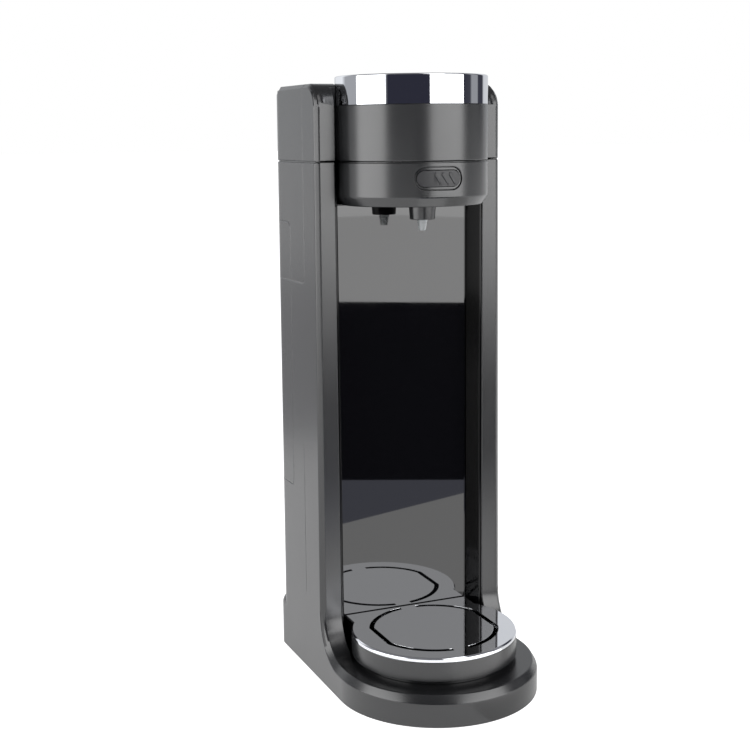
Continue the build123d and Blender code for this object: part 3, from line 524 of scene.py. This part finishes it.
clear_plastic = bpy.data.materials.new("clear_plastic")
clear_plastic.use_nodes = True
clear = clear_plastic.node_tree.nodes["Principled BSDF"]
clear.inputs["Base Color"].default_value = (0.80, 0.82, 0.83, 1.0)
clear.inputs["Transmission Weight"].default_value = 0.85
clear.inputs["Roughness"].default_value = 0.2
clear.inputs["IOR"].default_value = 1.45
low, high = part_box("nozzle_collar")
spout_low, spout_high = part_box("spout_tip")
nozzle_y = (low.y + high.y) / 2
collar_top = (high.y - low.y) / 2
spout_root = (spout_high.y - spout_low.y) / 2
collar_bore = spout_root + spout_gap
shoulder = low.z + shoulder_rise
finished(spun([(collar_bore, low.z), (collar_top - collar_taper, low.z), (collar_top, high.z),
               (collar_bore, high.z)], nozzle_y, collar_edge), "collar",
         "housing", "head_plastic", head_plastic, "nozzle_collar")
finished(spun([(spout_end - spout_wall, spout_low.z), (spout_end, spout_low.z),
               (spout_root, shoulder), (spout_root, spout_high.z),
               (spout_root - spout_wall, spout_high.z), (spout_root - spout_wall, shoulder)],
              nozzle_y, spout_edge), "spout",
         "housing", "clear_plastic", clear_plastic, "spout_tip")

# Button: a bezel let into the drum, and a pill-shaped cap with three slanted ribs. Both are moved
# round the drum with its skin, and the cap is turned over so that its ribs lean the right way.
button_edge = 0.25 * mm
button_steps = 2
button_plastic = moulded("button_plastic", (0.026, 0.026, 0.028, 1.0), 0.42, ior=1.5)
low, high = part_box("button_cap")
button_z = (low.z + high.z) / 2
about_drum = (Matrix.Translation((0, drum_y, 0)) @ Matrix.Rotation(radians(button_turn), 4, "Z")
              @ Matrix.Translation((0, -drum_y, 0)))
turned_over = (Matrix.Translation((0, 0, button_z)) @ Matrix.Scale(-1, 4, (0, 0, 1))
               @ Matrix.Translation((0, 0, -button_z)))
bezel = welded("button_bezel")
bezel.transform(about_drum)
finished(eased(bezel, button_edge, button_steps), "bezel",
         "housing", "head_plastic", head_plastic, "button_bezel")
cap = welded("button_cap")
cap.transform(about_drum @ turned_over)
bmesh.ops.reverse_faces(cap, faces=cap.faces)
finished(eased(cap, button_edge, button_steps), "press_cap",
         "button", "button_plastic", button_plastic, "button_cap")

# Reservoir and mixing chamber: smoke-tinted moulded cups inside the head, with a steel strainer
# over the reservoir's outlet.
cup_edge = 0.4 * mm
reservoir_plastic = moulded("reservoir_plastic", (0.30, 0.30, 0.30, 1.0), 0.2, 900.0, 0.05)
finished(eased(welded("reservoir"), cup_edge), "wine_cup",
         "housing", "reservoir_plastic", reservoir_plastic, "reservoir")
finished(welded("reservoir_strainer"), "strainer",
         "housing", "screw_steel", screw_steel, "reservoir_strainer")
paint(reservoir_plastic, "aeration_chamber")

# Top cover: the cap over the arms and column with the upper drum, one moulding in the body's
# plastic that stands on the body at the seam.
finished(eased(drafted(welded("top_cover")), body_edge), "top_cap",
         "housing", "body_plastic", body_plastic, "top_cover")

# Chrome ring: a plated band round the top of the head with a rounded upper edge, and a small lip
# that turns in over the reservoir's flange.
ring_wall = 3.0 * mm
ring_lip = 1.0 * mm
lip_thick = 2.6 * mm
ring_round = 1.1 * mm
ring_steps = 6
chrome = polished("chrome_plate", (0.80, 0.81, 0.84, 1.0), 0.02, 0.02)
low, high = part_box("chrome_ring")
ring_y = (low.y + high.y) / 2
ring_out = (high.y - low.y) / 2
ring_in = ring_out - ring_wall
ring_turns = [step * pi / 2 / ring_steps for step in range(ring_steps + 1)]
rounded = [(ring_out - ring_round * (1 - cos(turn)), high.z - ring_round * (1 - sin(turn)))
           for turn in ring_turns]
finished(spun([(ring_in, low.z), (ring_out, low.z)] + rounded +
              [(ring_in - ring_lip, high.z), (ring_in - ring_lip, high.z - lip_thick),
               (ring_in, high.z - lip_thick)], ring_y), "plated_ring",
         "housing", "chrome_plate", chrome, "chrome_ring")

# Fill lid: a dished lid with a grip bar across it, moulded like the body but less glossy, and a
# silicone seal round its plug.
lid_edge = 0.5 * mm
lid_plastic = moulded("lid_plastic", (0.0140, 0.0144, 0.0152, 1.0), 0.34)
finished(eased(welded("fill_lid"), lid_edge), "lid", "lid", "lid_plastic", lid_plastic, "fill_lid")
finished(eased(welded("lid_gasket"), lid_edge), "lid_seal",
         "lid", "silicone", silicone, "lid_gasket")

# Drip tray: a round-fronted cup in the head's plastic that stands on the base, and the polished
# metal plate with drain slots that lies in it.
tray_edge = 0.4 * mm
plate_edge = 0.2 * mm
plate_steps = 2
tray_plate = polished("tray_plate", (0.78, 0.79, 0.82, 1.0), 0.02, 0.03)
finished(eased(welded("drip_cup"), tray_edge), "tray_cup",
         "drip_cup", "head_plastic", head_plastic, "drip_cup")
finished(eased(welded("drip_plate"), plate_edge, plate_steps), "plate",
         "drip_plate", "tray_plate", tray_plate, "drip_plate")

# Floor: a seamless pale sweep under the object, plain white to the camera. Flat glowing cards on
# it, which only reflections see, stand for the lit and the dark parts of the studio around it.
floor_half = 30.0
floor_pale = (0.86, 0.86, 0.86, 1.0)
floor_glow = 0.7
card_height = 0.5 * mm
table_left, table_right = (-0.105, -0.265), (0.376, -0.420)
table_back, table_nose = (0.12, -0.09), (0.0, -0.15)
edge_left, edge_right = (-0.121, -0.609), (0.3246, -0.4034)
cards = [("studio_table", [table_left, table_right, table_back, table_nose], (1.9, 1.9, 1.9)),
         ("studio_side", [table_nose, table_back, table_right, (0.60, -0.10), (0.30, 0.10),
                          (0.03, 0.0)], (0.90, 0.90, 0.90)),
         ("studio_edge", [table_left, edge_left, edge_right], (0.60, 0.62, 0.76)),
         ("studio_floor", [edge_left, (-1.5, -5.0), (2.2, -5.0), (4.0, -1.8), edge_right],
          (0.02, 0.02, 0.03)),
         ("studio_far_floor", [(-1.23, 0.35), (0.61, 1.13), (0.67, 3.54), (-3.01, 1.98)],
          (0.60, 0.60, 0.62))]


def flat_stage(name, corners, height):
    """A flat stage piece with these corners, and its material's nodes."""
    bm = bmesh.new()
    bm.faces.new([bm.verts.new((x, y, height)) for x, y in corners])
    mesh = bpy.data.meshes.new(name)
    bm.to_mesh(mesh)
    bm.free()
    piece = bpy.data.objects.new(name, mesh)
    bpy.context.scene.collection.objects.link(piece)
    material = bpy.data.materials.new(name)
    material.use_nodes = True
    mesh.materials.append(material)
    material.node_tree.nodes["Principled BSDF"].inputs["Specular IOR Level"].default_value = 0.0
    return piece, material.node_tree


floor, tree = flat_stage("floor", [(-floor_half, -floor_half), (floor_half, -floor_half),
                                   (floor_half, floor_half), (-floor_half, floor_half)], 0.0)
shader = tree.nodes["Principled BSDF"]
shader.inputs["Base Color"].default_value = floor_pale
shader.inputs["Roughness"].default_value = 0.9
shader.inputs["Emission Color"].default_value = (1.0, 1.0, 1.0, 1.0)
seen = tree.nodes.new("ShaderNodeLightPath").outputs
tree.links.new(calc(tree, "MAXIMUM", calc(tree, "MULTIPLY", seen["Is Glossy Ray"], floor_glow),
                    seen["Is Camera Ray"]), shader.inputs["Emission Strength"])
for name, corners, shade in cards:
    card, tree = flat_stage(name, corners, card_height)
    glow = tree.nodes["Principled BSDF"]
    glow.inputs["Base Color"].default_value = (0.0, 0.0, 0.0, 1.0)
    glow.inputs["Emission Color"].default_value = (*shade, 1.0)
    glow.inputs["Emission Strength"].default_value = 1.0
    card.visible_camera = False
    card.visible_diffuse = False
    card.visible_shadow = False
    card.visible_transmission = False

# Light: two upright softboxes in front of the object, each turned round it by so many degrees,
# and one lamp overhead, in a pale room whose side behind the camera is dark.
softbox_level = 3.3
softbox_far = 1.3
softbox_low = 0.10
softbox_top = 1.05
softboxes = [("softbox_right", -30.6, 1.36), ("softbox_left", 87.0, 1.20)]
overhead_level = 1.8
overhead_size = 0.7
overhead_place = (0.30, -0.98, 1.46)
overhead_aim = (0.0, 0.0, 0.3)
ceiling_gray = (0.2, 0.2, 0.21, 1.0)
ceiling_from = 0.45
ceiling_full = 0.7
# How bright the room's wall is, by degrees round to the left from its front.
room = [(-180, 0.75), (-113, 0.70), (-108, 0.05), (-94, 0.05), (-92, 0.34), (-77, 0.34),
        (-74, 0.06), (-59, 0.04), (-57, 0.6), (-4, 0.6), (-3, 0.03), (60, 0.03), (63, 0.6),
        (109, 0.6), (113, 0.42), (140, 0.42), (150, 1.0), (180, 0.9)]
room_tint = (0.97, 0.99, 1.0)
room_blue = 0.015


def lamp(name, place, aim, width, height, level):
    """A rectangular lamp of a given brightness that looks at a point."""
    data = bpy.data.lights.new(name, "AREA")
    data.shape = "RECTANGLE"
    data.size = width
    data.size_y = height
    data.energy = pi * level * width * height
    holder = bpy.data.objects.new(name, data)
    look = (Vector(aim) - Vector(place)).to_track_quat("-Z", "Y").to_matrix().to_4x4()
    holder.matrix_world = Matrix.Translation(place) @ look
    holder.visible_camera = False
    bpy.context.scene.collection.objects.link(holder)


softbox_middle = (softbox_low + softbox_top) / 2
for name, side, wide in softboxes:
    place = (-sin(radians(side)) * softbox_far, -cos(radians(side)) * softbox_far, softbox_middle)
    lamp(name, place, (0, 0, softbox_middle), wide, softbox_top - softbox_low, softbox_level)
lamp("overhead", overhead_place, overhead_aim, overhead_size, overhead_size, overhead_level)

world = bpy.data.worlds.new("studio")
bpy.context.scene.world = world
world.use_nodes = True
tree = world.node_tree
place = tree.nodes.new("ShaderNodeTexCoord")
split = tree.nodes.new("ShaderNodeSeparateXYZ")
tree.links.new(place.outputs["Generated"], split.inputs["Vector"])
left, front = [calc(tree, "MULTIPLY", split.outputs[axis], -1.0) for axis in "XY"]
around = ranged(tree, calc(tree, "ARCTAN2", left, front), 0.0, 1.0, -pi, pi)
cove = tree.nodes.new("ShaderNodeValToRGB")
cove.color_ramp.interpolation = "LINEAR"
stops = cove.color_ramp.elements
stops.remove(stops[-1])
for number, (angle, level) in enumerate(room):
    stop = stops[0] if number == 0 else stops.new(1.0)
    stop.position = (angle + 180) / 360
    red, green, blue = [level * tint for tint in room_tint]
    stop.color = (red, green, blue + room_blue, 1.0)
ceiling = tree.nodes.new("ShaderNodeMix")
ceiling.data_type = "RGBA"
mix_wall, mix_ceiling = ceiling.inputs[6], ceiling.inputs[7]
mix_ceiling.default_value = ceiling_gray
background = tree.nodes["Background"]
plain = tree.nodes.new("ShaderNodeBackground")
plain.inputs["Color"].default_value = (1.0, 1.0, 1.0, 1.0)
seen = tree.nodes.new("ShaderNodeLightPath").outputs
shown = tree.nodes.new("ShaderNodeMixShader")
tree.links.new(around, cove.inputs["Fac"])
tree.links.new(cove.outputs["Color"], mix_wall)
tree.links.new(ranged(tree, split.outputs["Z"], 0.0, 1.0, ceiling_from, ceiling_full),
               ceiling.inputs[0])
tree.links.new(ceiling.outputs[2], background.inputs["Color"])
tree.links.new(calc(tree, "MAXIMUM", seen["Is Camera Ray"], seen["Is Transmission Ray"]),
               shown.inputs["Fac"])
tree.links.new(background.outputs["Background"], shown.inputs[1])
tree.links.new(plain.outputs["Background"], shown.inputs[2])
tree.links.new(shown.outputs["Shader"], tree.nodes["World Output"].inputs["Surface"])

# Camera: where the photograph was taken from, to the left of the object's front and a little
# lower than its top, looking slightly down.
camera_place = Vector((-0.37955, -0.83348, 0.38232))
camera_lens = 64.07
camera_sensor = 36.0
yaw, pitch, roll = radians(22.788), radians(10.25), radians(-0.668)
ahead = Vector((sin(yaw) * cos(pitch), cos(yaw) * cos(pitch), -sin(pitch)))
level = Vector((cos(yaw), -sin(yaw), 0.0))
upright = level.cross(ahead)
across = cos(roll) * level + sin(roll) * upright
upward = -sin(roll) * level + cos(roll) * upright
facing = Matrix((across, upward, -ahead)).transposed()
lens = bpy.data.cameras.new("camera")
lens.lens = camera_lens
lens.sensor_width = camera_sensor
camera = bpy.data.objects.new("camera", lens)
camera.matrix_world = Matrix.Translation(camera_place) @ facing.to_4x4()
bpy.context.scene.collection.objects.link(camera)
bpy.context.scene.camera = camera
bpy.context.scene.view_settings.view_transform = "Standard"
